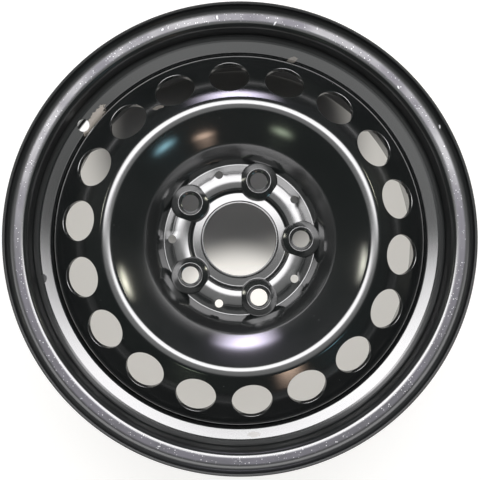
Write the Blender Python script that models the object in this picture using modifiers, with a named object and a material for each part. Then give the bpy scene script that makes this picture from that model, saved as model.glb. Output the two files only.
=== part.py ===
"""Pressed steel car wheel: a rolled rim with a drop centre, a vented disc with five bolt seats, welds.

The wheel lies flat, with its axis along Z and its outer side up. The origin is on the axis, midway
between the two flanges. The first bolt hole is on +X.
"""

import math

import bmesh
import bpy
from mathutils import Matrix, Vector

MM = 0.001

# Rim: a hoop rolled from one strip, 15 inches across its bead seats and 6 inches wide
BEAD_SEAT_RADIUS = 190.1 * MM  # where the bead seat's line meets the flange's face
RIM_WIDTH = 152.4 * MM  # between the tyre faces of the two flanges
RIM_SHEET = 2.6 * MM
FLANGE_HEIGHT = 17.5 * MM  # above the bead seat
CURL_RADIUS = 9.0 * MM  # the flange's rolled edge, on the tyre side
LIP_REACH = 12.0 * MM  # how far the rolled edge stands out from the flange's face
FLANGE_ROOT_RADIUS = 6.5 * MM
BEAD_SEAT_SLOPE = math.radians(5.0)
HUMP_PLACE = 21.0 * MM  # from the flange's face to the hump's top
HUMP_HEIGHT = 1.2 * MM
HUMP_WIDTH = 9.0 * MM
WELL_DEPTH = 19.0 * MM  # below the bead seat radius
WELL_OUTER_PLACE = 35.7 * MM  # from the outer flange's face to where the bottom meets the wall
WELL_INNER_PLACE = 52.2 * MM  # the same, from the inner flange's face
WELL_OUTER_WALL = math.radians(25.0)  # lean of the wall from a flat plane across the axis
WELL_INNER_WALL = math.radians(55.0)
WELL_FOOT_RADIUS = 5.0 * MM
VALVE_HOLE_RADIUS = 5.75 * MM
VALVE_HOLE_RISE = 6.0 * MM  # from the well's bottom to the hole's centre

# Disc: pressed from one thicker sheet; its back face is the mounting face
DISC_SHEET = 3.6 * MM
OFFSET = 31.0 * MM  # mounting face above the middle plane
BORE_RADIUS = 33.3 * MM
BOLT_COUNT = 5
BOLT_CIRCLE_RADIUS = 56.0 * MM
BOLT_HOLE_RADIUS = 7.8 * MM
BORE_LIP_RISE = 1.2 * MM  # the bore's raised lip
BORE_LIP_WIDTH = 2.6 * MM
HUB_FLAT_WIDTH = 7.3 * MM  # flat ring round the bore
RIDGE_RISE = 4.8 * MM  # shoulders of the ring between the bolts, above the flat ring
RIDGE_CREST = 2.0 * MM  # the ridge's arched middle, above its shoulders
RIDGE_CREST_ROUNDING = 18.0 * MM
RIDGE_RAMP = 3.2 * MM  # each ramp's run, across the axis
RIDGE_WIDTH = 14.2 * MM
LAND_RISE = 3.6 * MM  # ledge outside the ridge
LAND_FALL = 1.2 * MM  # from there down to the ledge's outer edge
LAND_RAMP = 1.6 * MM
LAND_WIDTH = 7.3 * MM
GROOVE_RAMP = 3.0 * MM
GROOVE_WIDTH = 5.1 * MM  # flat ring round the bolt area, in the plane of the one round the bore
GROOVE_ROUNDING = 2.0 * MM
BOWL_RAMP = 8.4 * MM  # the bowl's steep wall, up to the funnel
BOWL_BEND_ROUNDING = 25.0 * MM
FUNNEL_INNER_SLOPE = math.radians(46.0)
FUNNEL_OUTER_SLOPE = math.radians(36.0)
FUNNEL_BEND_PLACE = 0.52  # of the way from the bowl's bend to the crown
FUNNEL_ROUNDING = 130.0 * MM
CROWN_PLACE = 0.395  # of the way from the bowl's bend to the collar
CROWN_ROUNDING = 10.0 * MM
VENT_COUNT = 18
VENT_PLACE = 0.539  # of the way from the crown to the collar
VENT_WEB = 14.4 * MM  # left between neighbours
VENT_RISE = 34.0 * MM  # vents' circle above the mounting face
VENT_SLOPE = math.radians(35.0)  # lean of the vented band
COLLAR_BEND_RADIUS = 17.0 * MM  # where the vented band turns into the collar
COLLAR_LENGTH = 31.0 * MM  # from the bend's corner to the collar's back edge
SMALL_HOLE_RADIUS = 3.7 * MM
SMALL_HOLE_CIRCLE_RADIUS = 61.9 * MM

# Bolt seats: a dome round each bolt hole, with a ball-shaped seat
SEAT_WIDTH = 2.9 * MM  # from the bolt hole out to the seat's mouth
SEAT_BALL_RADIUS = 14.0 * MM
SEAT_LAND = 1.8 * MM  # straight part of the bolt hole, under the seat
DOME_RISE = 12.6 * MM  # dome's top above the mounting face
DOME_TOP_WIDTH = 0.8 * MM  # flat edge round the seat's mouth
DOME_SHOULDER_WIDTH = 3.9 * MM
DOME_SHOULDER_DROP = 2.6 * MM  # below the dome's top
DOME_FLANK_WIDTH = 1.9 * MM  # from the shoulder out to the foot

# Welds between the disc's collar and the well
WELD_COUNT = 6
WELD_STEPS = 4  # length, in steps of the turned pieces
WELD_START = 2  # the first weld's start, in the same steps
WELD_LEG = 4.2 * MM
WELD_BULGE = 0.8 * MM
WELD_END_SIZE = 0.5  # of the full section, where a weld runs out

GAP = 0.3 * MM  # between pieces that touch
BEND_ALLOWANCE = 0.4 * MM  # by which an outward bend's radius exceeds its sheet
PAST = 6.0 * MM  # how far a cutter runs past what it cuts

# Facets
TURN_STEPS = 48
VENT_SIDES = 20
BOLT_SIDES = 16
VALVE_SIDES = 16
SMALL_HOLE_SIDES = 12
ARC_ERROR = 0.5 * MM  # most that a bend's facets stand off from its arc
SHARP_ANGLE = math.radians(35.0)

BOLT_PITCH = 2 * math.pi / BOLT_COUNT
VENT_PITCH = 2 * math.pi / VENT_COUNT
VALVE_ANGLE = 2 * BOLT_PITCH  # the valve hole is in line with the third bolt hole
WELL_RADIUS = BEAD_SEAT_RADIUS - WELL_DEPTH
WELL_OUTER_END = RIM_WIDTH / 2 - WELL_OUTER_PLACE
COLLAR_RADIUS = WELL_RADIUS - RIM_SHEET - GAP
LIP_RADIUS = BORE_RADIUS + BORE_LIP_WIDTH
RIDGE_RADIUS = LIP_RADIUS + HUB_FLAT_WIDTH + RIDGE_RAMP
LAND_RADIUS = RIDGE_RADIUS + RIDGE_WIDTH + LAND_RAMP
GROOVE_RADIUS = LAND_RADIUS + LAND_WIDTH + GROOVE_RAMP
BOWL_RADIUS = GROOVE_RADIUS + GROOVE_WIDTH + BOWL_RAMP
CROWN_RADIUS = BOWL_RADIUS + (COLLAR_RADIUS - BOWL_RADIUS) * CROWN_PLACE
FUNNEL_BEND_RADIUS = BOWL_RADIUS + (CROWN_RADIUS - BOWL_RADIUS) * FUNNEL_BEND_PLACE
VENT_CIRCLE_RADIUS = CROWN_RADIUS + (COLLAR_RADIUS - CROWN_RADIUS) * VENT_PLACE
VENT_RADIUS = VENT_CIRCLE_RADIUS * math.sin(VENT_PITCH / 2) - VENT_WEB / 2
SEAT_MOUTH_RADIUS = BOLT_HOLE_RADIUS + SEAT_WIDTH
DOME_TOP_RADIUS = SEAT_MOUTH_RADIUS + DOME_TOP_WIDTH
DOME_SHOULDER_RADIUS = DOME_TOP_RADIUS + DOME_SHOULDER_WIDTH
DOME_FOOT_RADIUS = DOME_SHOULDER_RADIUS + DOME_FLANK_WIDTH
FLAT_Z = OFFSET + DISC_SHEET  # outer face of the disc's flat rings
VENT_Z = OFFSET + VENT_RISE
COLLAR_TOP_Z = VENT_Z - (COLLAR_RADIUS - VENT_CIRCLE_RADIUS) * math.tan(VENT_SLOPE)
COLLAR_BACK_Z = COLLAR_TOP_Z - COLLAR_LENGTH


def steel(name, roughness):
    """Black painted steel."""
    material = bpy.data.materials.new(name)
    material.use_nodes = True
    shader = material.node_tree.nodes["Principled BSDF"]
    shader.inputs["Base Color"].default_value = (0.012, 0.013, 0.014, 1.0)
    shader.inputs["Roughness"].default_value = roughness
    shader.inputs["Metallic"].default_value = 0.0
    shader.inputs["Coat Weight"].default_value = 0.5
    return material


def collection(name, hidden=False):
    made = bpy.data.collections.new(name)
    made.hide_render = hidden
    bpy.context.scene.collection.children.link(made)
    return made


def add(name, mesh, home, material=None):
    made = bpy.data.objects.new(name, mesh)
    home.objects.link(made)
    if home.hide_render:
        made.hide_render = True
        made.display_type = "WIRE"
    if material:
        mesh.materials.append(material)
    return made


def arc_steps(radius, turn):
    """How many facets an arc takes to stay within the allowed error."""
    if radius <= ARC_ERROR:
        return 1
    return math.ceil(turn / (2 * math.acos(1 - ARC_ERROR / radius)))


def room_for_bend(here, neighbour):
    """How far a bend may reach from its corner: to the next one, or half way if that is bent too."""
    length = (Vector(neighbour[:2]) - here).length
    return length / 2 if neighbour[2] else length


def rounded(corners):
    """The line through corners (radius, height, rounding), each corner replaced by its arc."""
    line = []
    for index, (radius, height, rounding) in enumerate(corners):
        here = Vector((radius, height))
        if rounding == 0 or index in (0, len(corners) - 1):
            line.append(here)
            continue
        back = (Vector(corners[index - 1][:2]) - here).normalized()
        ahead = (Vector(corners[index + 1][:2]) - here).normalized()
        half = back.angle(ahead) / 2
        turn = math.pi - 2 * half
        room = min(room_for_bend(here, corners[index - 1]), room_for_bend(here, corners[index + 1]))
        rounding = min(rounding, room * math.tan(half))
        middle = here + (back + ahead).normalized() * rounding / math.sin(half)
        first = here + back * rounding / math.tan(half) - middle
        last = here + ahead * rounding / math.tan(half) - middle
        steps = arc_steps(rounding, turn)
        for step in range(steps + 1):
            share = step / steps
            spoke = first * math.sin((1 - share) * turn) + last * math.sin(share * turn)
            line.append(middle + spoke / math.sin(turn))
    return line


def turned(name, line, home, material=None, steps=TURN_STEPS):
    """A line of (radius, height) points turned about Z by a Screw modifier."""
    mesh = bpy.data.meshes.new(name)
    edges = [(i, i + 1) for i in range(len(line) - 1)]
    mesh.from_pydata([(p[0], 0.0, p[1]) for p in line], edges, [])
    made = add(name, mesh, home, material)
    screw = made.modifiers.new("Turn", "SCREW")
    screw.axis = "Z"
    screw.angle = 2 * math.pi
    screw.steps = screw.render_steps = steps
    screw.use_merge_vertices = True
    screw.merge_threshold = 0.00001
    return made


def thicken(sheet, thickness):
    """Gives a turned sheet its thickness, away from the side that its line draws."""
    solidify = sheet.modifiers.new("Sheet", "SOLIDIFY")
    solidify.thickness = thickness
    solidify.offset = -1
    solidify.use_even_offset = True


def boolean(target, operation, tools):
    modifier = target.modifiers.new(operation.title(), "BOOLEAN")
    modifier.operation = operation
    modifier.solver = "EXACT"
    modifier.operand_type = "COLLECTION"
    modifier.collection = tools


def settle(made):
    """Makes the modifiers' result the object's own mesh, and shades it."""
    graph = bpy.context.evaluated_depsgraph_get()
    mesh = bpy.data.meshes.new_from_object(made.evaluated_get(graph))
    made.modifiers.clear()
    made.data = mesh
    mesh.shade_smooth()
    mesh.set_sharp_from_angle(angle=SHARP_ANGLE)


def round_about(radius, angle, height=0.0):
    """The matrix that places something made at the origin at this radius and angle, turned with it."""
    return Matrix.Rotation(angle, 4, "Z") @ Matrix.Translation((radius, 0, height))


def cylinder_mesh(name, radius, depth, sides):
    mesh = bpy.data.meshes.new(name)
    shape = bmesh.new()
    bmesh.ops.create_cone(
        shape, cap_ends=True, segments=sides, radius1=radius, radius2=radius, depth=depth
    )
    shape.to_mesh(mesh)
    shape.free()
    return mesh


def flange_line():
    """Half of the rim's tyre side, from the flange's lip down over the bead seat to the hump."""
    face = RIM_WIDTH / 2
    centre = Vector((BEAD_SEAT_RADIUS + FLANGE_HEIGHT - CURL_RADIUS, face + CURL_RADIUS))
    lip = math.asin((LIP_REACH - CURL_RADIUS) / CURL_RADIUS)
    steps = arc_steps(CURL_RADIUS, lip + math.pi / 2)
    curl = []
    for step in range(steps + 1):
        angle = lip - (lip + math.pi / 2) * step / steps
        curl.append(centre + CURL_RADIUS * Vector((math.cos(angle), math.sin(angle))))
    hump_top = face - HUMP_PLACE
    seat_fall = math.tan(BEAD_SEAT_SLOPE)
    foot_outer = hump_top + HUMP_WIDTH / 2
    foot_inner = hump_top - HUMP_WIDTH / 2
    seat_end = BEAD_SEAT_RADIUS - (face - foot_outer) * seat_fall
    seat = rounded(
        [
            (curl[-1][0], curl[-1][1], 0),
            (BEAD_SEAT_RADIUS, face, FLANGE_ROOT_RADIUS),
            (seat_end, foot_outer, 0),
        ]
    )
    hump = [Vector((seat_end + HUMP_HEIGHT, hump_top)), Vector((seat_end, foot_inner))]
    return curl + seat[1:] + hump


def rim_line():
    """The rim's tyre side, from the outer flange's lip to the inner one's."""
    flange = flange_line()
    shelf = flange[-1][0]
    wall_height = shelf - WELL_RADIUS
    inner_end = WELL_INNER_PLACE - RIM_WIDTH / 2
    outer_shoulder = WELL_OUTER_END + wall_height * math.tan(WELL_OUTER_WALL)
    inner_shoulder = inner_end - wall_height * math.tan(WELL_INNER_WALL)
    bend = RIM_SHEET + BEND_ALLOWANCE
    well = rounded(
        [
            (shelf, flange[-1][1], 0),
            (shelf, outer_shoulder, bend),
            (WELL_RADIUS, WELL_OUTER_END, WELL_FOOT_RADIUS),
            (WELL_RADIUS, inner_end, WELL_FOOT_RADIUS),
            (shelf, inner_shoulder, bend),
            (shelf, -flange[-1][1], 0),
        ]
    )
    mirrored = [Vector((p[0], -p[1])) for p in reversed(flange)]
    return flange + well[1:-1] + mirrored


def make_rim(home, tools, material):
    rim = turned("rim_barrel", rim_line(), home, material)
    thicken(rim, RIM_SHEET)
    # The valve hole is square to the well's outer wall
    hole = add(
        "valve_hole_cutter",
        cylinder_mesh("valve_hole_cutter", VALVE_HOLE_RADIUS, 2 * PAST + RIM_SHEET, VALVE_SIDES),
        tools,
    )
    radius = WELL_RADIUS + VALVE_HOLE_RISE
    height = WELL_OUTER_END + VALVE_HOLE_RISE * math.tan(WELL_OUTER_WALL)
    lean = Matrix.Rotation(-WELL_OUTER_WALL, 4, "Y")
    hole.matrix_world = round_about(radius, VALVE_ANGLE, height) @ lean
    boolean(rim, "DIFFERENCE", tools)
    return rim


def disc_line():
    """The disc's outer face, from the bore's lip out over the crown to the collar's back edge."""
    lip = FLAT_Z + BORE_LIP_RISE
    ridge = FLAT_Z + RIDGE_RISE
    land = FLAT_Z + LAND_RISE
    crown = VENT_Z + (VENT_CIRCLE_RADIUS - CROWN_RADIUS) * math.tan(VENT_SLOPE)
    funnel_bend = crown - (CROWN_RADIUS - FUNNEL_BEND_RADIUS) * math.tan(FUNNEL_OUTER_SLOPE)
    bowl_bend = funnel_bend - (FUNNEL_BEND_RADIUS - BOWL_RADIUS) * math.tan(FUNNEL_INNER_SLOPE)
    bend = DISC_SHEET + BEND_ALLOWANCE
    return rounded(
        [
            (BORE_RADIUS - PAST / 2, lip, 0),
            (LIP_RADIUS - BORE_LIP_RISE, lip, 0),
            (LIP_RADIUS, FLAT_Z, 0),
            (RIDGE_RADIUS - RIDGE_RAMP, FLAT_Z, 0),
            (RIDGE_RADIUS, ridge, bend),
            (RIDGE_RADIUS + RIDGE_WIDTH / 2, ridge + RIDGE_CREST, RIDGE_CREST_ROUNDING),
            (RIDGE_RADIUS + RIDGE_WIDTH, ridge, 0),
            (LAND_RADIUS, land, 0),
            (LAND_RADIUS + LAND_WIDTH, land - LAND_FALL, bend),
            (GROOVE_RADIUS, FLAT_Z, 0),
            (GROOVE_RADIUS + GROOVE_WIDTH, FLAT_Z, GROOVE_ROUNDING),
            (BOWL_RADIUS, bowl_bend, BOWL_BEND_ROUNDING),
            (FUNNEL_BEND_RADIUS, funnel_bend, FUNNEL_ROUNDING),
            (CROWN_RADIUS, crown, CROWN_ROUNDING),
            (COLLAR_RADIUS, COLLAR_TOP_Z, COLLAR_BEND_RADIUS),
            (COLLAR_RADIUS, COLLAR_BACK_Z, 0),
        ]
    )


def dome_line():
    """Half section of the solid dome, from its top to its foot."""
    top = OFFSET + DOME_RISE
    foot = OFFSET + GAP
    return [
        (0, top),
        (DOME_TOP_RADIUS, top),
        (DOME_SHOULDER_RADIUS, top - DOME_SHOULDER_DROP),
        (DOME_FOOT_RADIUS, foot),
        (0, foot),
    ]


def seat_line():
    """Half section of what is cut out for a bolt: the seat, the hole and the hollow behind the dome."""
    top = OFFSET + DOME_RISE
    centre = top + math.sqrt(SEAT_BALL_RADIUS**2 - SEAT_MOUTH_RADIUS**2)
    line = [(0, top + PAST), (SEAT_MOUTH_RADIUS, top + PAST)]
    for share in (0.0, 0.5, 1.0):
        radius = SEAT_MOUTH_RADIUS + (BOLT_HOLE_RADIUS - SEAT_MOUTH_RADIUS) * share
        line.append((radius, centre - math.sqrt(SEAT_BALL_RADIUS**2 - radius**2)))
    under = line[-1][1] - SEAT_LAND
    return line + [
        (BOLT_HOLE_RADIUS, under),
        (DOME_SHOULDER_RADIUS - DISC_SHEET, under - GAP),
        (DOME_FOOT_RADIUS - DISC_SHEET, OFFSET - PAST),
        (0, OFFSET - PAST),
    ]


def copies(shape, home, name, places):
    """The shape at the first place, and copies that share its mesh at the others."""
    for index, place in enumerate(places):
        copy = shape if index == 0 else shape.copy()
        if index:
            home.objects.link(copy)
        copy.name = f"{name}_{index + 1}"
        copy.matrix_world = place


def make_disc(home, domes, tools, material):
    disc = turned("wheel_disc", disc_line(), home, material)
    thicken(disc, DISC_SHEET)
    bolts = [round_about(BOLT_CIRCLE_RADIUS, i * BOLT_PITCH) for i in range(BOLT_COUNT)]
    copies(turned("dome", dome_line(), domes, steps=BOLT_SIDES), domes, "dome", bolts)
    copies(turned("seat_cutter", seat_line(), tools, steps=BOLT_SIDES), tools, "seat_cutter", bolts)
    small = add("small", cylinder_mesh("small", SMALL_HOLE_RADIUS, 4 * PAST, SMALL_HOLE_SIDES), tools)
    between = [
        round_about(SMALL_HOLE_CIRCLE_RADIUS, (i + 0.5) * BOLT_PITCH, FLAT_Z) for i in range(BOLT_COUNT)
    ]
    copies(small, tools, "small_hole_cutter", between)
    vent = add("vent", cylinder_mesh("vent", VENT_RADIUS, 2 * PAST + DISC_SHEET, VENT_SIDES), tools)
    lean = Matrix.Rotation(VENT_SLOPE, 4, "Y")
    # The valve hole lies between two vents
    vents = [
        round_about(VENT_CIRCLE_RADIUS, VALVE_ANGLE + (i + 0.5) * VENT_PITCH, VENT_Z) @ lean
        for i in range(VENT_COUNT)
    ]
    copies(vent, tools, "vent_cutter", vents)
    bore = add("bore_cutter", cylinder_mesh("bore_cutter", BORE_RADIUS, 4 * PAST, TURN_STEPS), tools)
    bore.location.z = FLAT_Z
    boolean(disc, "UNION", domes)
    boolean(disc, "DIFFERENCE", tools)
    return disc


def make_welds(home, material):
    """Fillet beads in the corner between the collar's back edge and the well."""
    step = 2 * math.pi / TURN_STEPS
    pitch = 2 * math.pi / WELD_COUNT
    root = Vector((COLLAR_RADIUS, COLLAR_BACK_Z - GAP))
    corners = [
        Vector((0, 0)),
        Vector((-WELD_LEG, 0)),
        Vector((-WELD_LEG / 2 - WELD_BULGE, -WELD_LEG / 2 - WELD_BULGE)),
        Vector((0, -WELD_LEG)),
    ]
    for index in range(WELD_COUNT):
        shape = bmesh.new()
        rings = []
        for place in range(WELD_STEPS + 1):
            size = WELD_END_SIZE if place in (0, WELD_STEPS) else 1.0
            turn = Matrix.Rotation(index * pitch + (place + WELD_START) * step, 4, "Z")
            section = [root + corner * size for corner in corners]
            rings.append([shape.verts.new(turn @ Vector((p[0], 0, p[1]))) for p in section])
        for first, second in zip(rings, rings[1:]):
            for i in range(len(corners)):
                j = (i + 1) % len(corners)
                shape.faces.new((first[i], first[j], second[j], second[i]))
        shape.faces.new(list(reversed(rings[0])))
        shape.faces.new(rings[-1])
        bmesh.ops.recalc_face_normals(shape, faces=shape.faces)
        mesh = bpy.data.meshes.new(f"disc_weld_{index + 1}")
        shape.to_mesh(mesh)
        shape.free()
        add(mesh.name, mesh, home, material)


def main():
    for old in list(bpy.data.objects):
        bpy.data.objects.remove(old, do_unlink=True)
    wheel = collection("Steel wheel")
    rim_tools = collection("Rim cutters", hidden=True)
    domes = collection("Bolt domes", hidden=True)
    disc_tools = collection("Disc cutters", hidden=True)
    rim = make_rim(wheel, rim_tools, steel("rim_paint", 0.3))
    disc = make_disc(wheel, domes, disc_tools, steel("disc_paint", 0.22))
    make_welds(wheel, steel("weld_paint", 0.4))
    bpy.context.view_layer.update()
    for made in (rim, disc):
        settle(made)


main()
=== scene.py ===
import math

import bpy
import numpy as np
from mathutils import Matrix, Vector


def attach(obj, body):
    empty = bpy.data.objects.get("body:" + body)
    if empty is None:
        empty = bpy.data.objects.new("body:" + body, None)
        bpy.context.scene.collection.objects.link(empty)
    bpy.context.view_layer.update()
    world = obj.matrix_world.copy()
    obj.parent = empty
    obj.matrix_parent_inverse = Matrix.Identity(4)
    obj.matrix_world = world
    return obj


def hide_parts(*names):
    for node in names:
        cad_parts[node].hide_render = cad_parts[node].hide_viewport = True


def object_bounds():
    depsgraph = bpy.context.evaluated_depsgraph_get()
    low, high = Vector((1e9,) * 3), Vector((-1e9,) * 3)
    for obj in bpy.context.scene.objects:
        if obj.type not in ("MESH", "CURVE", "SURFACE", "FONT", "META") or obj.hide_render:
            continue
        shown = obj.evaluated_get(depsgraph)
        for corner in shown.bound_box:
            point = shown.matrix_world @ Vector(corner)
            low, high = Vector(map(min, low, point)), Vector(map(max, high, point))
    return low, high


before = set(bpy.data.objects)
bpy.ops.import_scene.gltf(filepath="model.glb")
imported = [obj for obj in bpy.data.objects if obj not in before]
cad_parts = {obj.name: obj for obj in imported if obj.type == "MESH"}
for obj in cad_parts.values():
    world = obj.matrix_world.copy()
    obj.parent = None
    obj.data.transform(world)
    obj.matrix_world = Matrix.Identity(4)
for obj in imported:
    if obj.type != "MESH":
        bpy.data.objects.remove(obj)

mm = 0.001
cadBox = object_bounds()
scene = bpy.context.scene
floorHeight = cadBox[0][2] - 0.05 * mm
print("frame loaded:", ", ".join(sorted(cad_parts)))


# Sections: a corner is (radius, height, rounding), and a line is a list of (point, normal)

def leftOf(way):
    return Vector((-way.y, way.x))


def bendLine(corners, bendStep=math.radians(8)):
    line = []
    count = len(corners)
    for i, (radius, height, rounding) in enumerate(corners):
        here = Vector((radius, height))
        back = (Vector(corners[i - 1][:2]) - here).normalized()
        ahead = (Vector(corners[(i + 1) % count][:2]) - here).normalized()
        before, after = leftOf(-back), leftOf(ahead)
        turn = math.pi - back.angle(ahead)
        if rounding == 0:
            line.append((here, (before + after).normalized()))
            continue
        middle = here + (back + ahead).normalized() * rounding / math.cos(turn / 2)
        side = 1 if (middle - here).dot(before + after) < 0 else -1
        steps = max(2, math.ceil(turn / bendStep))
        for step in range(steps + 1):
            share = step / steps
            normal = before * math.sin((1 - share) * turn) + after * math.sin(share * turn)
            normal.normalize()
            line.append((middle + normal * rounding * side, normal))
    return line


def sheetCorners(front, sheet, edge):
    # The sheet's other side follows the first, and both of its edges are rounded a little
    rear = []
    last = len(front) - 1
    for i, (radius, height, rounding) in enumerate(front):
        here = Vector((radius, height))
        wayIn = (here - Vector(front[max(i, 1) - 1][:2])).normalized()
        wayOut = (Vector(front[min(i, last - 1) + 1][:2]) - here).normalized()
        if i == 0:
            wayIn = wayOut
        if i == last:
            wayOut = wayIn
        before, after = leftOf(wayIn), leftOf(wayOut)
        place = here - (before + after) / (1 + before.dot(after)) * sheet
        hollow = wayIn.cross(wayOut) > 0
        bend = rounding + sheet if hollow else max(rounding - sheet, 0.1 * sheet)
        rear.append((place.x, place.y, edge if i in (0, last) else bend))
    first = (*front[0][:2], edge)
    end = (*front[-1][:2], edge)
    return [first, *front[1:-1], end, *reversed(rear)]


def inMetres(corners):
    return [tuple(value * mm for value in corner) for corner in corners]


def turnedMesh(name, line, steps):
    radii = np.array([point.x for point, normal in line])
    heights = np.array([point.y for point, normal in line])
    angles = np.arange(steps) * 2 * math.pi / steps
    verts = np.stack(
        [np.outer(np.cos(angles), radii), np.outer(np.sin(angles), radii), np.tile(heights, (steps, 1))], axis=-1
    ).reshape(-1, 3)
    count = len(line)
    here = np.arange(steps)[:, None] * count
    after = (np.arange(steps)[:, None] + 1) % steps * count
    i = np.arange(count)[None, :]
    j = (i + 1) % count
    faces = np.stack([here + i, here + j, after + j, after + i], axis=-1).reshape(-1, 4)
    mesh = bpy.data.meshes.new(name)
    mesh.from_pydata(verts.tolist(), [], faces.tolist())
    return mesh


def stackedMesh(name, rings):
    # Closed shape from rings of points, listed from the top down
    sides = len(rings[0])
    verts = [tuple(point) for ring in rings for point in ring]
    faces = [tuple(range(sides)), tuple(reversed(range((len(rings) - 1) * sides, len(rings) * sides)))]
    for k in range(len(rings) - 1):
        for j in range(sides):
            n = (j + 1) % sides
            faces.append((k * sides + j, (k + 1) * sides + j, (k + 1) * sides + n, k * sides + n))
    mesh = bpy.data.meshes.new(name)
    mesh.from_pydata(verts, [], faces)
    return mesh


def circle(radius, height, sides):
    return [
        (radius * math.cos(2 * math.pi * j / sides), radius * math.sin(2 * math.pi * j / sides), height)
        for j in range(sides)
    ]


def joinedTools(name, meshes, places):
    # One mesh of copies, each set at its place
    verts, faces = [], []
    for mesh, place in zip(meshes, places):
        start = len(verts)
        verts += [place @ v.co for v in mesh.vertices]
        faces += [tuple(start + v for v in face.vertices) for face in mesh.polygons]
    joined = bpy.data.meshes.new(name)
    joined.from_pydata([tuple(v) for v in verts], [], faces)
    return joined


def newObject(name, mesh):
    made = bpy.data.objects.new(name, mesh)
    scene.collection.objects.link(made)
    return made


def cutMesh(mesh, operation, toolMesh):
    piece = newObject("blank", mesh)
    tool = newObject("tool", toolMesh)
    modifier = piece.modifiers.new("Cut", "BOOLEAN")
    modifier.operation = operation
    modifier.solver = "MANIFOLD"
    modifier.object = tool
    graph = bpy.context.evaluated_depsgraph_get()
    result = bpy.data.meshes.new_from_object(piece.evaluated_get(graph))
    bpy.data.objects.remove(piece)
    bpy.data.objects.remove(tool)
    return result


def placeAt(radius, angle, height=0.0, lean=0.0):
    turned = Matrix.Rotation(angle, 4, "Z") @ Matrix.Translation((radius, 0, height))
    return turned @ Matrix.Rotation(lean, 4, "Y")


def sectionNormals(points, line):
    # Distance from the section's line, and the line's normal there, for points (radius, height)
    starts = np.array([tuple(point) for point, normal in line])
    normals = np.array([tuple(normal) for point, normal in line])
    best = np.full(len(points), 1.0)
    found = np.zeros((len(points), 2))
    for k in range(len(line)):
        j = (k + 1) % len(line)
        along = starts[j] - starts[k]
        share = np.clip((points - starts[k]) @ along / max(along @ along, 1e-18), 0, 1)[:, None]
        gap = np.linalg.norm(points - starts[k] - share * along, axis=1)
        closer = gap < best
        best[closer] = gap[closer]
        found[closer] = (normals[k] * (1 - share) + normals[j] * share)[closer]
    return best, found / np.maximum(np.linalg.norm(found, axis=1), 1e-9)[:, None]


def shadeTurned(mesh, line, lobes=None, sharpAngle=math.radians(30), reach=0.03 * mm):
    # Turned faces take the section's own normals, and cut ones keep the mesh's
    mesh.shade_smooth()
    mesh.set_sharp_from_angle(angle=sharpAngle)
    count = len(mesh.vertices)
    co = np.zeros(count * 3)
    mesh.vertices.foreach_get("co", co)
    co = co.reshape(-1, 3)
    radius = np.hypot(co[:, 0], co[:, 1])
    angle = np.arctan2(co[:, 1], co[:, 0])
    plain = lobes.undo(radius, angle) if lobes else radius
    gap, flat = sectionNormals(np.stack([plain, co[:, 2]], axis=1), line)
    ways = np.stack([flat[:, 0], np.zeros(count), flat[:, 1]], axis=1)
    if lobes:
        ways = lobes.tilt(plain, radius, angle, ways)
    cos, sin = np.cos(angle), np.sin(angle)
    normals = np.stack([ways[:, 0] * cos - ways[:, 1] * sin, ways[:, 0] * sin + ways[:, 1] * cos, ways[:, 2]], axis=1)
    corners = len(mesh.loops)
    of = np.zeros(corners, dtype=np.int32)
    mesh.loops.foreach_get("vertex_index", of)
    starts = np.zeros(len(mesh.polygons), dtype=np.int32)
    totals = np.zeros(len(mesh.polygons), dtype=np.int32)
    mesh.polygons.foreach_get("loop_start", starts)
    mesh.polygons.foreach_get("loop_total", totals)
    facing = np.zeros(len(mesh.polygons) * 3)
    mesh.polygons.foreach_get("normal", facing)
    facing = facing.reshape(-1, 3)
    furthest = np.maximum.reduceat(gap[of], starts)
    mean = np.add.reduceat(normals[of], starts, axis=0) / totals[:, None]
    turned = (furthest < reach) & ((mean * facing).sum(axis=1) > 0.9)
    own = np.zeros(corners * 3)
    mesh.corner_normals.foreach_get("vector", own)
    own = own.reshape(-1, 3)
    whole = np.repeat(turned, totals)
    own[whole] = normals[of][whole]
    mesh.normals_split_custom_set(own.tolist())
    return turned.mean()


# The rim's sizes, in millimetres. They are the CAD's, but for a tighter flange root and the bend in the well's wall

rim = {
    "seatRadius": 190.1, "width": 152.4, "sheet": 2.6, "edge": 0.7,
    "flangeHeight": 17.5, "curl": 9.0, "lipReach": 12.0, "flangeRoot": 4.6,
    "seatFall": math.radians(5), "humpPlace": 21.0, "humpHeight": 1.2, "humpWidth": 9.0, "humpRounding": 6.0,
    "wellDepth": 19.0, "outerPlace": 35.7, "innerPlace": 52.2, "foot": 5.0,
    "outerLean": math.radians(25), "innerLean": math.radians(55), "wallEnd": 182.0, "wallBend": 6.0,
    "shelfDrop": 1.3, "shelfBend": 6.5, "bendExtra": 0.4,
    "valveRadius": 5.75, "valveRise": 6.0, "valveAngle": math.radians(144),
    "valveSides": 40, "valveSoft": 0.4, "steps": 288,
}
wellRadius = rim["seatRadius"] - rim["wellDepth"]
wellOuterEnd = rim["width"] / 2 - rim["outerPlace"]


def flangeCorners():
    face = rim["width"] / 2
    lean = math.asin((rim["lipReach"] - rim["curl"]) / rim["curl"])
    middle = Vector((rim["seatRadius"] + rim["flangeHeight"] - rim["curl"], face + rim["curl"]))
    lip = middle + rim["curl"] * Vector((math.cos(lean), math.sin(lean)))
    outside = lip.x + (lip.y - face) * math.tan(lean)
    top = face - rim["humpPlace"]
    half = rim["humpWidth"] / 2
    seatEnd = rim["seatRadius"] - (face - top - half) * math.tan(rim["seatFall"])
    return [
        (lip.x, lip.y, 0),
        (outside, face, rim["curl"] - 0.001),
        (rim["seatRadius"], face, rim["flangeRoot"]),
        (seatEnd, top + half, rim["humpRounding"]),
        (seatEnd + rim["humpHeight"], top, rim["humpRounding"]),
        (seatEnd, top - half, rim["shelfBend"]),
    ]


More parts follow.
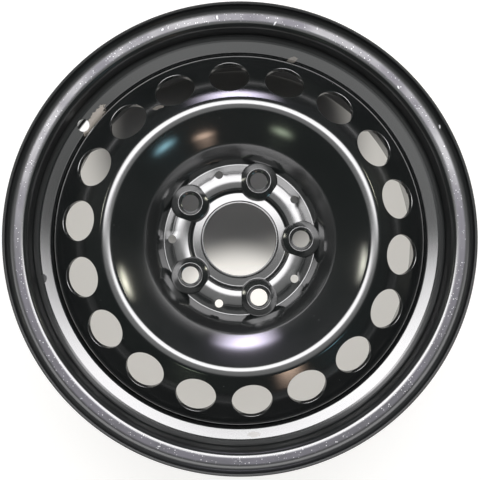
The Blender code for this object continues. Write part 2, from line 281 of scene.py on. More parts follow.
def rimSection():
    flange = flangeCorners()
    shelf = flange[-1][0]
    bend = rim["sheet"] + rim["bendExtra"]
    rise = shelf - wellRadius
    innerEnd = rim["innerPlace"] - rim["width"] / 2
    wallRise = rim["wallEnd"] - wellRadius
    well = [
        (rim["wallEnd"], wellOuterEnd + wallRise * math.tan(rim["outerLean"]), rim["wallBend"]),
        (wellRadius, wellOuterEnd, rim["foot"]),
        (wellRadius, innerEnd, rim["foot"]),
        (shelf, innerEnd - rise * math.tan(rim["innerLean"]), bend),
    ]
    mirrored = [(radius, -height, rounding) for radius, height, rounding in reversed(flange)]
    outer = flange[:-1] + [(shelf, flange[-1][1] - rim["shelfDrop"], flange[-1][2])]
    return bendLine(inMetres(sheetCorners(outer + well + mirrored, rim["sheet"], rim["edge"])))


def makeRim():
    line = rimSection()
    mesh = turnedMesh("rim", line, rim["steps"])
    radius = (wellRadius + rim["valveRise"]) * mm
    height = (wellOuterEnd + rim["valveRise"] * math.tan(rim["outerLean"])) * mm
    # The hole's edge is broken a little on both sides
    half, soft = rim["sheet"], rim["valveSoft"]
    widths = [(soft, half + 4), (soft, 0.02), (0.12, -0.12), (0, -soft)]
    lower = [(extra, -rim["sheet"] - depth) for extra, depth in reversed(widths)]
    rings = [circle((rim["valveRadius"] + extra) * mm, level * mm, rim["valveSides"])
             for extra, level in widths + lower]
    plug = stackedMesh("valve hole", rings)
    place = placeAt(radius, rim["valveAngle"], height, -rim["outerLean"])
    # The wall's tyre side faces down, so the plug's top goes there
    flipped = place @ Matrix.Rotation(math.pi, 4, "X")
    tool = joinedTools("valve tool", [plug], [flipped])
    mesh = cutMesh(mesh, "DIFFERENCE", tool)
    turned = shadeTurned(mesh, line)
    piece = newObject("rim_fine", mesh)
    print(f"rim: {len(mesh.polygons)} faces, {turned:.3f} of them turned")
    return piece


# The disc's sizes, in millimetres. The CAD has a land and a groove where the valley is, slopes of 46 and 36
# degrees, narrower domes and a wider collar bend

disc = {
    "sheet": 3.6, "edge": 0.6, "offset": 31.0, "boreRadius": 33.3, "lipRise": 1.2, "lipWidth": 2.6,
    "flatWidth": 7.3, "flatTilt": 0.35, "ridgeRise": 4.8, "ridgeCrest": 2.0, "crestRounding": 22.0,
    "ridgeRamp": 3.2, "ridgeWidth": 14.2, "ridgeBend": 3.0, "landBend": 0.3,
    "lipBend": 0.6, "lipFoot": 0.8, "bendExtra": 0.4,
    "landRise": 3.9, "landRamp": 1.6, "landWidth": 7.4,
    "hollowBend": 1.2, "valleyRise": 0.7, "valleyRounding": 1.6,
    "bowlRamp": 16.4, "bowlRounding": 25.0, "innerSlope": math.radians(43), "outerSlope": math.radians(38.5),
    "funnelPlace": 0.52, "funnelRounding": 300.0, "crownPlace": 0.395, "crownRounding": 10.0,
    "ventCount": 18, "ventPlace": 0.539, "ventWeb": 14.4, "ventRise": 34.0, "ventSlope": math.radians(35),
    "ventSides": 72, "smallSides": 40,
    "ventEdge": 0.6, "collarBend": 6.5, "collarLength": 31.0, "gap": 0.3, "steps": 288,
    "boltCount": 5, "boltCircle": 56.0, "boltHole": 7.8, "seatWidth": 2.9, "seatBall": 14.0, "seatLand": 1.8,
    "seatEdge": 0.9, "domeRise": 12.6, "domeTopWidth": 0.5, "shoulderWidth": 6.0, "shoulderDrop": 4.0,
    "flankWidth": 1.5, "domeTopBend": 1.0, "shoulderBend": 3.0, "boltSides": 96, "smallHole": 3.7, "smallCircle": 61.9,
    "lobeReach": 4.3, "lobeHalf": math.radians(7.5),
}
flatHeight = disc["offset"] + disc["sheet"]
lipRadius = disc["boreRadius"] + disc["lipWidth"]
ridgeRadius = lipRadius + disc["flatWidth"] + disc["ridgeRamp"]
landRadius = ridgeRadius + disc["ridgeWidth"] + disc["landRamp"]
valleyRadius = landRadius + disc["landWidth"]
bowlRadius = valleyRadius + disc["bowlRamp"]
collarRadius = wellRadius - rim["sheet"] - disc["gap"]
crownRadius = bowlRadius + (collarRadius - bowlRadius) * disc["crownPlace"]
funnelRadius = bowlRadius + (crownRadius - bowlRadius) * disc["funnelPlace"]
ventCircle = crownRadius + (collarRadius - crownRadius) * disc["ventPlace"]
ventPitch = 2 * math.pi / disc["ventCount"]
ventRadius = ventCircle * math.sin(ventPitch / 2) - disc["ventWeb"] / 2
ventHeight = disc["offset"] + disc["ventRise"]
boltPitch = 2 * math.pi / disc["boltCount"]


def discSection():
    ridge = flatHeight + disc["ridgeRise"]
    land = flatHeight + disc["landRise"]
    crown = ventHeight + (ventCircle - crownRadius) * math.tan(disc["ventSlope"])
    funnel = crown - (crownRadius - funnelRadius) * math.tan(disc["outerSlope"])
    bowl = funnel - (funnelRadius - bowlRadius) * math.tan(disc["innerSlope"])
    collarTop = ventHeight - (collarRadius - ventCircle) * math.tan(disc["ventSlope"])
    bend = disc["sheet"] + disc["bendExtra"]
    front = [
        (disc["boreRadius"], flatHeight, 0),
        (ridgeRadius - disc["ridgeRamp"], flatHeight, disc["hollowBend"]),
        (ridgeRadius, ridge, bend),
        (ridgeRadius + disc["ridgeWidth"] / 2, ridge + disc["ridgeCrest"], disc["crestRounding"]),
        (ridgeRadius + disc["ridgeWidth"], ridge, disc["ridgeBend"]),
        (landRadius, land, disc["landBend"]),
        (valleyRadius, flatHeight + disc["valleyRise"], disc["valleyRounding"]),
        (bowlRadius, bowl, disc["bowlRounding"]),
        (funnelRadius, funnel, disc["funnelRounding"]),
        (crownRadius, crown, disc["crownRounding"]),
        (collarRadius, collarTop, disc["collarBend"]),
        (collarRadius, collarTop - disc["collarLength"], 0),
    ]
    closed = sheetCorners(front, disc["sheet"], disc["edge"])
    lip = flatHeight + disc["lipRise"]
    closed[0:1] = [
        (disc["boreRadius"], lip, disc["lipBend"]),
        (lipRadius - disc["lipRise"], lip, disc["lipBend"]),
        (lipRadius, flatHeight + disc["flatTilt"], disc["lipFoot"]),
    ]
    return bendLine(inMetres(closed))


class Lobes:
    # The ridge's step reaches out in a point at each small hole
    reach = disc["lobeReach"] * mm
    inner = (ridgeRadius + disc["ridgeWidth"] * 0.55) * mm, (ridgeRadius + disc["ridgeWidth"] - 1.0) * mm
    outer = (landRadius + 0.4) * mm, (landRadius + disc["landWidth"] - 0.2) * mm

    def weight(self, radius):
        rise = np.clip((radius - self.inner[0]) / (self.inner[1] - self.inner[0]), 0, 1)
        fall = np.clip((radius - self.outer[0]) / (self.outer[1] - self.outer[0]), 0, 1)
        return rise * rise * (3 - 2 * rise) * (1 - fall * fall * (3 - 2 * fall))

    def push(self, angle):
        away = np.abs((angle / boltPitch) % 1 - 0.5) * boltPitch / disc["lobeHalf"]
        return self.reach * np.clip(1 - away, 0, 1) ** 1.5

    def move(self, radius, angle):
        return radius + self.push(angle) * self.weight(radius)

    def undo(self, radius, angle):
        low, high = radius - self.reach, radius.copy()
        for _ in range(24):
            middle = (low + high) / 2
            over = self.move(middle, angle) > radius
            high = np.where(over, middle, high)
            low = np.where(over, low, middle)
        return (low + high) / 2

    def tilt(self, plain, radius, angle, ways):
        step = 1e-5
        acrossRadius = (self.move(plain + step, angle) - self.move(plain - step, angle)) / (2 * step)
        turnStep = 1e-4
        acrossAngle = (self.move(plain, angle + turnStep) - self.move(plain, angle - turnStep)) / (2 * turnStep)
        outward = ways[:, 0] / acrossRadius
        sideways = -outward * acrossAngle / np.maximum(radius, 1e-6)
        tilted = np.stack([outward, sideways, ways[:, 2]], axis=1)
        return tilted / np.linalg.norm(tilted, axis=1)[:, None]


def domeMesh():
    top = disc["offset"] + disc["domeRise"]
    mouth = disc["boltHole"] + disc["seatWidth"]
    topRadius = mouth + disc["domeTopWidth"]
    shoulder = topRadius + disc["shoulderWidth"]
    foot = shoulder + disc["flankWidth"]
    low = disc["offset"] + disc["gap"]
    corners = [
        (0, top, 0), (topRadius, top, disc["domeTopBend"]),
        (shoulder, top - disc["shoulderDrop"], disc["shoulderBend"]),
        (foot, low, 0), (0, low, 0),
    ]
    line = bendLine(inMetres(corners))
    rings = [circle(point.x, point.y, disc["boltSides"]) for point, normal in line if point.x > 0]
    return stackedMesh("dome", rings)


def seatMesh():
    top = disc["offset"] + disc["domeRise"]
    mouth = disc["boltHole"] + disc["seatWidth"]
    ball, edge = disc["seatBall"], disc["seatEdge"]
    centre = top + math.sqrt(ball**2 - mouth**2)
    steep = math.asin(mouth / ball)
    rim0 = mouth + edge * math.tan(steep / 2)
    points = [(rim0, top + 6), (rim0, top + 0.01)]
    for k in range(1, 7):
        lean = steep * k / 6
        points.append((rim0 - edge * math.sin(lean), top - edge + edge * math.cos(lean)))
    start = points[-1][0]
    for k in range(1, 13):
        radius = start + (disc["boltHole"] - start) * k / 12
        points.append((radius, centre - math.sqrt(ball**2 - radius**2)))
    under = points[-1][1] - disc["seatLand"]
    shoulder = mouth + disc["domeTopWidth"] + disc["shoulderWidth"]
    foot = shoulder + disc["flankWidth"]
    points += [
        (disc["boltHole"], under), (shoulder - disc["sheet"] - 1.2, under - disc["gap"]),
        (shoulder - disc["sheet"] - 0.2, under - 1.4), (foot - disc["sheet"], disc["offset"] + 0.6),
        (foot - disc["sheet"] + 0.7, disc["offset"] - 0.1), (foot - disc["sheet"] + 0.7, disc["offset"] - 6),
    ]
    return stackedMesh("seat", [
        circle(radius * mm, level * mm, disc["boltSides"]) for radius, level in points
    ])


def ventMesh():
    # The vent's edge follows the cone that it is punched through
    sides, edge = disc["ventSides"], disc["ventEdge"]
    cos, sin = math.cos(disc["ventSlope"]), math.sin(disc["ventSlope"])

    def ring(radius, level):
        points = []
        for j in range(sides):
            a = radius * math.cos(2 * math.pi * j / sides)
            b = radius * math.sin(2 * math.pi * j / sides)
            fall = -sin * b * b / (2 * (ventCircle + a * cos))
            points.append((a * mm, b * mm, (level + fall) * mm))
        return points

    rings = [ring(ventRadius + edge, 8), ring(ventRadius + edge, 0.03)]
    for k in range(1, 7):
        lean = math.pi / 2 * k / 6
        rings.append(ring(ventRadius + edge * (1 - math.sin(lean)), -edge * (1 - math.cos(lean))))
    rings.append(ring(ventRadius, -disc["sheet"] - 6))
    return stackedMesh("vent", rings)


def makeDisc():
    line = discSection()
    mesh = turnedMesh("disc", line, disc["steps"])
    lobes = Lobes()
    co = np.zeros(len(mesh.vertices) * 3)
    mesh.vertices.foreach_get("co", co)
    co = co.reshape(-1, 3)
    radius, angle = np.hypot(co[:, 0], co[:, 1]), np.arctan2(co[:, 1], co[:, 0])
    moved = lobes.move(radius, angle) / radius
    co[:, 0] *= moved
    co[:, 1] *= moved
    mesh.vertices.foreach_set("co", co.ravel())
    bolts = [placeAt(disc["boltCircle"] * mm, i * boltPitch) for i in range(disc["boltCount"])]
    mesh = cutMesh(mesh, "UNION", joinedTools("domes", [domeMesh()] * len(bolts), bolts))
    small = stackedMesh("small hole", [
        circle((disc["smallHole"] + extra) * mm, level * mm, disc["smallSides"])
        for extra, level in ((0.35, 12), (0.35, 6.22), (0.1, 6.05), (0, 5.8), (0, -14))
    ])
    smallPlaces = [
        placeAt(disc["smallCircle"] * mm, (i + 0.5) * boltPitch, flatHeight * mm) for i in range(disc["boltCount"])
    ]
    vent = ventMesh()
    ventPlaces = [
        placeAt(ventCircle * mm, rim["valveAngle"] + (i + 0.5) * ventPitch, ventHeight * mm, disc["ventSlope"])
        for i in range(disc["ventCount"])
    ]
    tools = [seatMesh()] * len(bolts) + [small] * len(smallPlaces) + [vent] * len(ventPlaces)
    mesh = cutMesh(mesh, "DIFFERENCE", joinedTools("disc tools", tools, bolts + smallPlaces + ventPlaces))
    turned = shadeTurned(mesh, line, lobes)
    piece = newObject("disc_fine", mesh)
    print(f"disc: {len(mesh.polygons)} faces, {turned:.3f} of them turned")
    return piece


# Welds: rippled fillet beads in the corner behind the collar

weld = {
    "count": 6, "start": 2, "length": 4, "turnSteps": 48, "leg": 4.2, "bulge": 1.0,
    "ripple": 0.05, "ripplePitch": 1.5, "runOut": 4.0, "stations": 176,
}


def makeWelds():
    step = 2 * math.pi / weld["turnSteps"]
    collarTop = ventHeight - (collarRadius - ventCircle) * math.tan(disc["ventSlope"])
    root = Vector((collarRadius, collarTop - disc["collarLength"] - disc["gap"]))
    leg, bulge = weld["leg"], weld["bulge"]
    corners = [(0, 0, 0), (-leg, 0, 0), (-leg / 2 - bulge, -leg / 2 - bulge, 3.0), (0, -leg, 0)]
    section = [point for point, normal in bendLine(corners)]
    arc = weld["length"] * step * collarRadius
    pieces = []
    for index in range(weld["count"]):
        rings = []
        first = index * 2 * math.pi / weld["count"] + weld["start"] * step
        for k in range(weld["stations"] + 1):
            along = arc * k / weld["stations"]
            inside = min(along, arc - along) / weld["runOut"]
            size = 0.35 + 0.65 * math.sqrt(1 - (1 - min(inside, 1)) ** 2)
            size *= 1 - weld["ripple"] * (0.5 + 0.5 * math.cos(2 * math.pi * along / weld["ripplePitch"]))
            turn = Matrix.Rotation(first + along / collarRadius, 4, "Z")
            ring = [turn @ Vector(((root.x + p.x * size) * mm, 0, (root.y + p.y * size) * mm)) for p in section]
            rings.append(ring)
        mesh = stackedMesh(f"weld {index + 1}", rings)
        mesh.shade_smooth()
        mesh.set_sharp_from_angle(angle=math.radians(50))
        pieces.append(newObject(f"weld_fine_{index + 1}", mesh))
    print(f"welds: {len(pieces)} beads")
    return pieces


# Finishes

def newGroup(name, inputs, outputs):
    group = bpy.data.node_groups.new(name, "ShaderNodeTree")
    for label, kind, value in inputs:
        socket = group.interface.new_socket(name=label, in_out="INPUT", socket_type=kind)
        socket.default_value = value
    for label, kind in outputs:
        group.interface.new_socket(name=label, in_out="OUTPUT", socket_type=kind)
    entry = group.nodes.new("NodeGroupInput")
    exit_ = group.nodes.new("NodeGroupOutput")
    return group, entry, exit_


def maths(tree, operation, first, second=None, third=None, clamp=False):
    node = tree.nodes.new("ShaderNodeMath")
    node.operation = operation
    node.use_clamp = clamp
    for socket, value in zip(node.inputs, (first, second, third)):
        if value is None:
            continue
        if isinstance(value, (int, float)):
            socket.default_value = value
        else:
            tree.links.new(value, socket)
    return node.outputs[0]


def mapped(tree, value, fromLow, fromHigh, toLow=0.0, toHigh=1.0, smooth=True):
    node = tree.nodes.new("ShaderNodeMapRange")
    node.interpolation_type = "SMOOTHSTEP" if smooth else "LINEAR"
    for label, given in (
        ("Value", value), ("From Min", fromLow), ("From Max", fromHigh), ("To Min", toLow), ("To Max", toHigh)
    ):
        if isinstance(given, (int, float)):
            node.inputs[label].default_value = given
        else:
            tree.links.new(given, node.inputs[label])
    return node.outputs[0]


def objectPlace(tree):
    return tree.nodes.new("ShaderNodeTexCoord").outputs["Object"]


def noise(tree, place, scale, detail=2.0, roughness=0.5):
    node = tree.nodes.new("ShaderNodeTexNoise")
    node.inputs["Detail"].default_value = detail
    node.inputs["Roughness"].default_value = roughness
    tree.links.new(place, node.inputs["Vector"])
    if isinstance(scale, (int, float)):
        node.inputs["Scale"].default_value = scale
    else:
        tree.links.new(scale, node.inputs["Scale"])
    return node.outputs[0]


def makePeelGroup():
    group, entry, out = newGroup(
        "Orange peel", [("Scale", "NodeSocketFloat", 260.0), ("Depth", "NodeSocketFloat", 1.0)],
        [("Height", "NodeSocketFloat"), ("Cloud", "NodeSocketFloat")]
    )
    place = objectPlace(group)
    fine = noise(group, place, entry.outputs["Scale"], 2.0, 0.5)
    wide = noise(group, place, 24.0, 3.0, 0.6)
    height = maths(group, "MULTIPLY", fine, entry.outputs["Depth"])
    group.links.new(height, out.inputs["Height"])
    group.links.new(mapped(group, wide, 0.35, 0.65), out.inputs["Cloud"])
    return group


def makeGritGroup():
    # Separate little specks, one in some of a pattern's cells
    group, entry, out = newGroup(
        "Grit", [("Scale", "NodeSocketFloat", 800.0), ("Share", "NodeSocketFloat", 0.3),
                 ("Size", "NodeSocketFloat", 0.3)],
        [("Mask", "NodeSocketFloat")]
    )
    cells = group.nodes.new("ShaderNodeTexVoronoi")
    group.links.new(objectPlace(group), cells.inputs["Vector"])
    group.links.new(entry.outputs["Scale"], cells.inputs["Scale"])
    chance = group.nodes.new("ShaderNodeSeparateColor")
    group.links.new(cells.outputs["Color"], chance.inputs[0])
    picked = maths(group, "LESS_THAN", chance.outputs[0], entry.outputs["Share"])
    size = maths(group, "MULTIPLY", entry.outputs["Size"], mapped(group, chance.outputs[1], 0, 1, 0.5, 1.3, False))
    near = mapped(group, cells.outputs["Distance"], size, maths(group, "MULTIPLY", size, 0.4))
    group.links.new(maths(group, "MULTIPLY", near, picked), out.inputs["Mask"])
    return group


def makeBandGroup():
    # 1 between two radii and above a height, with soft borders
    group, entry, out = newGroup(
        "Ring band", [("Inner", "NodeSocketFloat", 0.1), ("Outer", "NodeSocketFloat", 0.2),
                      ("Low", "NodeSocketFloat", 0.0), ("Soft", "NodeSocketFloat", 0.001)],
        [("Mask", "NodeSocketFloat")]
    )
    parts = group.nodes.new("ShaderNodeSeparateXYZ")
    group.links.new(objectPlace(group), parts.inputs[0])
    square = maths(group, "MULTIPLY", parts.outputs[0], parts.outputs[0])
    radius = maths(group, "SQRT", maths(group, "MULTIPLY_ADD", parts.outputs[1], parts.outputs[1], square))
    soft = entry.outputs["Soft"]

    def edge(value, place):
        low = maths(group, "SUBTRACT", place, soft)
        high = maths(group, "ADD", place, soft)
        return mapped(group, value, low, high)

    inner = edge(radius, entry.outputs["Inner"])
    outer = maths(group, "SUBTRACT", 1.0, edge(radius, entry.outputs["Outer"]))
    low = edge(parts.outputs[2], entry.outputs["Low"])
    group.links.new(maths(group, "MULTIPLY", maths(group, "MULTIPLY", inner, outer), low), out.inputs["Mask"])
    return group


def makeMarkGroup():
    # A ragged mark of a given size at a place, turned about the axis
    group, entry, out = newGroup(
        "Paint mark", [("Place", "NodeSocketVector", (0, 0, 0)), ("Turn", "NodeSocketFloat", 0.0),
                       ("Size", "NodeSocketVector", (0.01, 0.01, 0.01)), ("Ragged", "NodeSocketFloat", 0.4)],
        [("Mask", "NodeSocketFloat")]
    )
    place = objectPlace(group)
    away = group.nodes.new("ShaderNodeVectorMath")
    away.operation = "SUBTRACT"
    group.links.new(place, away.inputs[0])
    group.links.new(entry.outputs["Place"], away.inputs[1])
    turn = group.nodes.new("ShaderNodeVectorRotate")
    turn.rotation_type = "Z_AXIS"
    group.links.new(away.outputs[0], turn.inputs["Vector"])
    group.links.new(entry.outputs["Turn"], turn.inputs["Angle"])
    scaled = group.nodes.new("ShaderNodeVectorMath")
    scaled.operation = "DIVIDE"
    group.links.new(turn.outputs[0], scaled.inputs[0])
    group.links.new(entry.outputs["Size"], scaled.inputs[1])
    length = group.nodes.new("ShaderNodeVectorMath")
    length.operation = "LENGTH"
    group.links.new(scaled.outputs[0], length.inputs[0])
    rough = maths(group, "SUBTRACT", noise(group, place, 420.0, 4.0, 0.65), 0.5)
    bent = maths(group, "MULTIPLY_ADD", rough, entry.outputs["Ragged"], length.outputs["Value"])
    group.links.new(mapped(group, bent, 1.08, 0.9), out.inputs["Mask"])
    return group


def mixed(tree, factor, first, second):
    node = tree.nodes.new("ShaderNodeMix")
    node.data_type = "RGBA"
    for socket, value in ((node.inputs[0], factor), (node.inputs[6], first), (node.inputs[7], second)):
        if isinstance(value, tuple):
            socket.default_value = (*value, 1.0)
        elif isinstance(value, (int, float)):
            socket.default_value = value
        else:
            tree.links.new(value, socket)
    return node.outputs[2]


def useGroup(tree, group, **values):
    node = tree.nodes.new("ShaderNodeGroup")
    node.node_tree = group
    for label, value in values.items():
        node.inputs[label].default_value = value
    return node.outputs


def newFinish(name):
    material = bpy.data.materials.new(name)
    material.use_nodes = True
    tree = material.node_tree
    shader = tree.nodes["Principled BSDF"]
    shader.inputs["IOR"].default_value = 1.4
    shader.inputs["Coat IOR"].default_value = paint["ior"]
    shader.inputs["Coat Roughness"].default_value = 0.11
    return material, tree, shader


def bumped(tree, shader, height, strength, distance, under=None):
    node = tree.nodes.new("ShaderNodeBump")
    node.inputs["Strength"].default_value = strength
    node.inputs["Distance"].default_value = distance
    tree.links.new(height, node.inputs["Height"])
    if under:
        tree.links.new(under, node.inputs["Normal"])
    tree.links.new(node.outputs[0], shader.inputs["Normal"])
    return node.outputs[0]


peel, grit, band, mark = makePeelGroup(), makeGritGroup(), makeBandGroup(), makeMarkGroup()

paint = {
    "black": (0.0045, 0.0055, 0.0055), "film": (0.125, 0.12, 0.14), "speck": (0.72, 0.72, 0.74),
    "scuff": (0.33, 0.30, 0.265), "soot": (0.035, 0.033, 0.032), "ior": 2.1,
}

# Marks: (place, way of the long side in degrees, half sizes, colour, strength), in millimetres
rimMarks = [
    ((-132.8, 108.6, 45.0), 58.0, (16.0, 4.6, 10.0), "scuff", 0.9),
    ((48.2, 165.1, 46.0), 10.0, (5.0, 2.6, 8.0), "scuff", 0.4),
    ((12.3, -176.8, 45.0), 0.0, (5.5, 2.4, 8.0), "scuff", 0.4),
    ((-177.5, -36.2, 46.0), 80.0, (4.2, 3.0, 8.0), "black", 0.9),
    ((-20.9, 195.2, 80.0), 100.0, (2.0, 0.9, 6.0), "speck", 0.9),
    ((-69.4, 183.9, 80.0), 45.0, (1.4, 0.8, 6.0), "speck", 0.9),
    ((30.4, 190.1, 80.0), 50.0, (2.2, 0.7, 6.0), "speck", 0.8),
    ((140.1, 133.3, 80.0), 110.0, (1.6, 0.7, 6.0), "speck", 0.8),
    ((176.5, 98.0, 82.0), 100.0, (2.0, 0.7, 6.0), "speck", 0.7),
]
discMarks = [
    ((-72.5, 115.8, 66.0), 15.0, (6.5, 2.2, 8.0), "scuff", 0.35),
    ((53.5, 125.6, 62.0), 80.0, (1.0, 0.7, 6.0), "speck", 0.7),
]

# Rings of the rim that look different: between two radii and above a height, in metres
rimBands = {
    "film": {"Inner": 0.1925, "Outer": 0.1985, "Low": 0.0765, "Soft": 0.0012},
    "curl": {"Inner": 0.1985, "Outer": 0.2045, "Low": 0.0765, "Soft": 0.001},
    "lip": {"Inner": 0.2045, "Outer": 0.3, "Low": 0.0, "Soft": 0.001},
    "seat": {"Inner": 0.1824, "Outer": 0.1898, "Low": 0.042, "Soft": 0.0007},
}


def addMarks(tree, marks, colour):
    # The colour with the marks on it, and how far they have worn the gloss away
    worn = 0.0
    for place, way, size, name, strength in marks:
        there = useGroup(
            tree, mark, Place=tuple(p * mm for p in place), Turn=-math.radians(way),
            Size=tuple(s * mm for s in size), Ragged=1.1
        )["Mask"]
        share = maths(tree, "MULTIPLY", there, strength)
        colour = mixed(tree, share, colour, paint[name])
        worn = maths(tree, "MAXIMUM", share, worn)
    return colour, worn


def makeRimPaint():
    material, tree, shader = newFinish("rim paint")
    skin = useGroup(tree, peel, Scale=300.0, Depth=1.0)
    specks = useGroup(tree, grit, Scale=620.0, Share=0.34, Size=0.34)
    flange = useGroup(tree, band, **rimBands["film"])["Mask"]
    cloud = skin["Cloud"]
    film = maths(tree, "MULTIPLY", flange, mapped(tree, cloud, 0, 1, 0.55, 1.0, False))
    colour = mixed(tree, film, paint["black"], paint["film"])
    shown = maths(tree, "MULTIPLY", specks["Mask"], flange)
    colour = mixed(tree, shown, colour, paint["speck"])
    colour, worn = addMarks(tree, rimMarks, colour)
    tree.links.new(colour, shader.inputs["Base Color"])
    # The lip is duller than the rest, most of all at its outer edge
    curl = useGroup(tree, band, **rimBands["curl"])["Mask"]
    lip = useGroup(tree, band, **rimBands["lip"])["Mask"]
    dull = maths(tree, "MULTIPLY_ADD", curl, 0.9, maths(tree, "MAXIMUM", film, lip), clamp=True)
    # So is the bead seat's inner side
    seat = useGroup(tree, band, **rimBands["seat"])["Mask"]
    dull = maths(tree, "MAXIMUM", dull, maths(tree, "MULTIPLY", seat, 0.85))
    dull = maths(tree, "MAXIMUM", dull, worn)
    tree.links.new(mapped(tree, dull, 0, 1, 0.25, 0.55, False), shader.inputs["Roughness"])
    tree.links.new(mapped(tree, dull, 0, 1, 1.0, 0.05, False), shader.inputs["Coat Weight"])
    skinNormal = bumped(tree, shader, skin["Height"], 0.12, 0.0004)
    bumped(tree, shader, shown, 0.5, 0.0003, skinNormal)
    return material


def makeDiscPaint():
    material, tree, shader = newFinish("disc paint")
    skin = useGroup(tree, peel, Scale=240.0, Depth=1.0)
    dust = useGroup(tree, grit, Scale=260.0, Share=0.05, Size=0.09)
    colour = mixed(tree, maths(tree, "MULTIPLY", dust["Mask"], 0.35), paint["black"], paint["speck"])
    colour, worn = addMarks(tree, discMarks, colour)
    tree.links.new(colour, shader.inputs["Base Color"])
    tree.links.new(mapped(tree, skin["Cloud"], 0, 1, 0.34, 0.44, False), shader.inputs["Roughness"])
    tree.links.new(maths(tree, "SUBTRACT", 1.0, worn), shader.inputs["Coat Weight"])
    bumped(tree, shader, skin["Height"], 0.10, 0.0004)
    return material


def makeWeldPaint():
    material, tree, shader = newFinish("weld paint")
    skin = useGroup(tree, peel, Scale=500.0, Depth=1.0)
    colour = mixed(tree, maths(tree, "MULTIPLY", skin["Cloud"], 0.25), paint["black"], paint["soot"])
    tree.links.new(colour, shader.inputs["Base Color"])
    shader.inputs["Roughness"].default_value = 0.3
    shader.inputs["Coat Weight"].default_value = 0.6
    bumped(tree, shader, skin["Height"], 0.3, 0.0005)
    return material


def dress(piece, material, slot, *nodes):
    piece.data.materials.clear()
    piece.data.materials.append(material)
    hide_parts(*nodes)
    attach(piece, "root")


rimPiece = makeRim()
discPiece = makeDisc()
weldPieces = makeWelds()
dress(rimPiece, makeRimPaint(), "rim_paint", "rim_barrel")
dress(discPiece, makeDiscPaint(), "disc_paint", "wheel_disc")
weldPaint = makeWeldPaint()
for index, piece in enumerate(weldPieces):
    dress(piece, weldPaint, "weld_paint", f"disc_weld_{index + 1}")
print("finishes: done")


# Floor, camera and light

# Each reach is the distance where a shade starts and the one where it ends
floorLook = {
    "radius": 12.0, "sides": 96, "colour": (0.30, 0.298, 0.292), "roughness": 0.8,
    "openPale": 0.80, "wheelReach": (0.18, 0.20), "insideTint": (1.0, 0.965, 0.90), "openTint": (1.0, 0.99, 0.975),
    # The next two lines paint shade and a bright patch into the floor's glow under the wheel, which the inside tint
    # colours warm
    "shadeMiddle": (-0.008, 0.115), "shadeReach": (0.105, 0.160), "shadePale": 0.50,
    "paintedLightMiddle": (0, -0.05), "paintedLightReach": (0.062, 0.03), "paintedLightPale": 0.40,
}


def makeFloor():
    look = floorLook
    mesh = bpy.data.meshes.new("floor")
    mesh.from_pydata(circle(look["radius"], floorHeight, look["sides"]), [], [tuple(range(look["sides"]))])
    floor = newObject("floor", mesh)
    material = bpy.data.materials.new("pale floor")
    material.use_nodes = True
    tree = material.node_tree
    shader = tree.nodes["Principled BSDF"]
    shader.inputs["Base Color"].default_value = (*look["colour"], 1)
    shader.inputs["Roughness"].default_value = look["roughness"]
    light = tree.nodes.new("ShaderNodeLightPath")
    seen = maths(tree, "ADD", light.outputs["Is Camera Ray"], light.outputs["Is Glossy Ray"])
    seen = maths(tree, "ADD", seen, light.outputs["Is Transmission Ray"], clamp=True)
    # Painted shade and light: under the wheel the floor's glow is turned down, deepest on the far side, and a painted
    # bright patch lifts it on the other side
    place = tree.nodes.new("ShaderNodeNewGeometry").outputs["Position"]
    away = []
    for middle in ((0, 0), look["shadeMiddle"], look["paintedLightMiddle"]):
        node = tree.nodes.new("ShaderNodeVectorMath")
        node.operation = "DISTANCE"
        tree.links.new(place, node.inputs[0])
        node.inputs[1].default_value = (*middle, floorHeight)
        away.append(node.outputs["Value"])
    # Painted shade under the wheel, with a painted bright patch added to it
    paintedShadeAndLight = mapped(tree, away[1], *look["shadeReach"], 0.0, look["shadePale"])
    paintedLight = mapped(tree, away[2], *look["paintedLightReach"], 0.0, look["paintedLightPale"])
    paintedShadeAndLight = maths(tree, "ADD", paintedShadeAndLight, paintedLight)
    pale = mapped(tree, away[0], *look["wheelReach"], paintedShadeAndLight, look["openPale"])
    tint = mixed(tree, mapped(tree, away[0], *look["wheelReach"]), look["insideTint"], look["openTint"])
    tree.links.new(tint, shader.inputs["Emission Color"])
    tree.links.new(maths(tree, "MULTIPLY", seen, pale), shader.inputs["Emission Strength"])
    # From below, the floor is clear
    underside = tree.nodes.new("ShaderNodeNewGeometry").outputs["Backfacing"]
    tree.links.new(maths(tree, "SUBTRACT", 1.0, underside), shader.inputs["Alpha"])
    mesh.materials.append(material)


view = {"place": (-0.0259, -0.0471, 0.9952), "turnY": 1.587, "turnX": -2.773, "lens": 78.14, "sensor": 36.0}


def makeCamera():
    camera = bpy.data.objects.new("camera", bpy.data.cameras.new("camera"))
    scene.collection.objects.link(camera)
    camera.data.sensor_width = view["sensor"]
    camera.data.lens = view["lens"]
    turn = Matrix.Rotation(math.radians(view["turnY"]), 4, "Y") @ Matrix.Rotation(math.radians(view["turnX"]), 4, "X")
    camera.matrix_world = Matrix.Translation(view["place"]) @ turn.inverted()
    scene.camera = camera


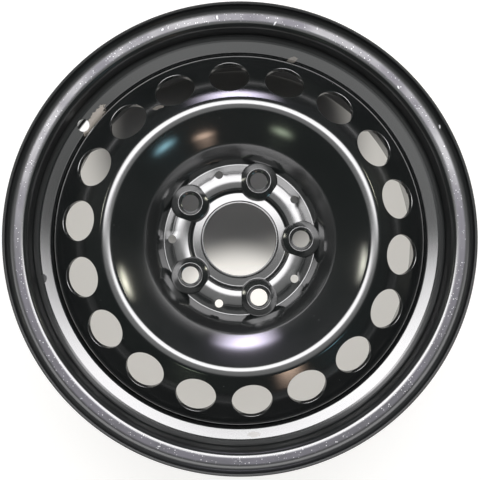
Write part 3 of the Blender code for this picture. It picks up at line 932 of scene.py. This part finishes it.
# Lamps: (place, size, radiance, share of the width that fades, colour); each faces the wheel
lamps = {
    "key": ((0.01, 0.45, 1.15), (2.1, 0.98), 6.6, 0.5, (1.0, 0.985, 1.0)),
    "ceiling": ((-0.05, -0.15, 1.3), (2.7, 2.2), 0.75, 0.6, (1.0, 1.0, 1.0)),
    "rightLamp": ((1.04, 0.46, 0.43), (0.38, 0.08), 16.0, 1.0, (1.0, 0.98, 0.80)),
    "leftLamp": ((-1.07, 0.31, 0.52), (0.44, 0.08), 11.0, 1.0, (1.0, 0.99, 0.86)),
    "farLamp": ((-0.03, 1.25, 0.24), (0.95, 0.15), 16.0, 1.0, (0.86, 0.79, 1.0)),
    "cyanLamp": ((0.782, -0.826, 0.457), (0.34, 0.08), 7.0, 1.0, (0.45, 0.85, 1.0)),
    "pinkLamp": ((0.447, -1.078, 0.367), (0.34, 0.08), 8.0, 1.0, (1.0, 0.72, 0.55)),
    "greenLamp": ((-0.408, -1.067, 0.45), (0.34, 0.10), 4.0, 1.0, (0.80, 0.95, 0.70)),
}


def makeLamp(name, place, size, radiance, fade, colour):
    data = bpy.data.lights.new(name, "AREA")
    data.shape = "RECTANGLE"
    data.size, data.size_y = size
    data.color = colour
    data.energy = radiance * math.pi * size[0] * size[1]
    # Its light fades towards its edges, as a diffuser's does
    data.use_nodes = True
    tree = data.node_tree
    shade = next(node for node in tree.nodes if node.type == "EMISSION")
    parts = tree.nodes.new("ShaderNodeSeparateXYZ")
    tree.links.new(tree.nodes.new("ShaderNodeNewGeometry").outputs["Parametric"], parts.inputs[0])
    strength = 1.0
    for across in parts.outputs[0:2]:
        fromMiddle = maths(tree, "ABSOLUTE", maths(tree, "MULTIPLY_ADD", across, 2.0, -1.0))
        strength = maths(tree, "MULTIPLY", mapped(tree, fromMiddle, 1.0, 1.0 - fade), strength)
    tree.links.new(strength, shade.inputs["Strength"])
    lamp = bpy.data.objects.new(name, data)
    scene.collection.objects.link(lamp)
    lamp.location = place
    lamp.rotation_euler = (Vector(place) - Vector((0, 0, 0.04))).to_track_quat("Z", "Y").to_euler()
    lamp.visible_camera = False


room = {"backdropReach": (0.07, 0.02), "dim": (0.04, 0.046, 0.044), "pale": (1.0, 0.995, 0.985)}


def makeWorld():
    world = bpy.data.worlds.new("studio")
    scene.world = world
    world.use_nodes = True
    tree = world.node_tree
    shade = tree.nodes["Background"]
    parts = tree.nodes.new("ShaderNodeSeparateXYZ")
    tree.links.new(tree.nodes.new("ShaderNodeTexCoord").outputs["Generated"], parts.inputs[0])
    # A pale backdrop stands low all round, and the room over it is dim
    backdrop = mapped(tree, parts.outputs[2], *room["backdropReach"])
    light = tree.nodes.new("ShaderNodeLightPath")
    seen = maths(tree, "MAXIMUM", light.outputs["Is Camera Ray"], backdrop)
    colour = mixed(tree, seen, room["dim"], room["pale"])
    tree.links.new(colour, shade.inputs["Color"])
    shade.inputs["Strength"].default_value = 1.0


makeFloor()
makeCamera()
for name, values in lamps.items():
    makeLamp(name, *values)
makeWorld()
scene.view_settings.view_transform = "Standard"
print("stage: done")
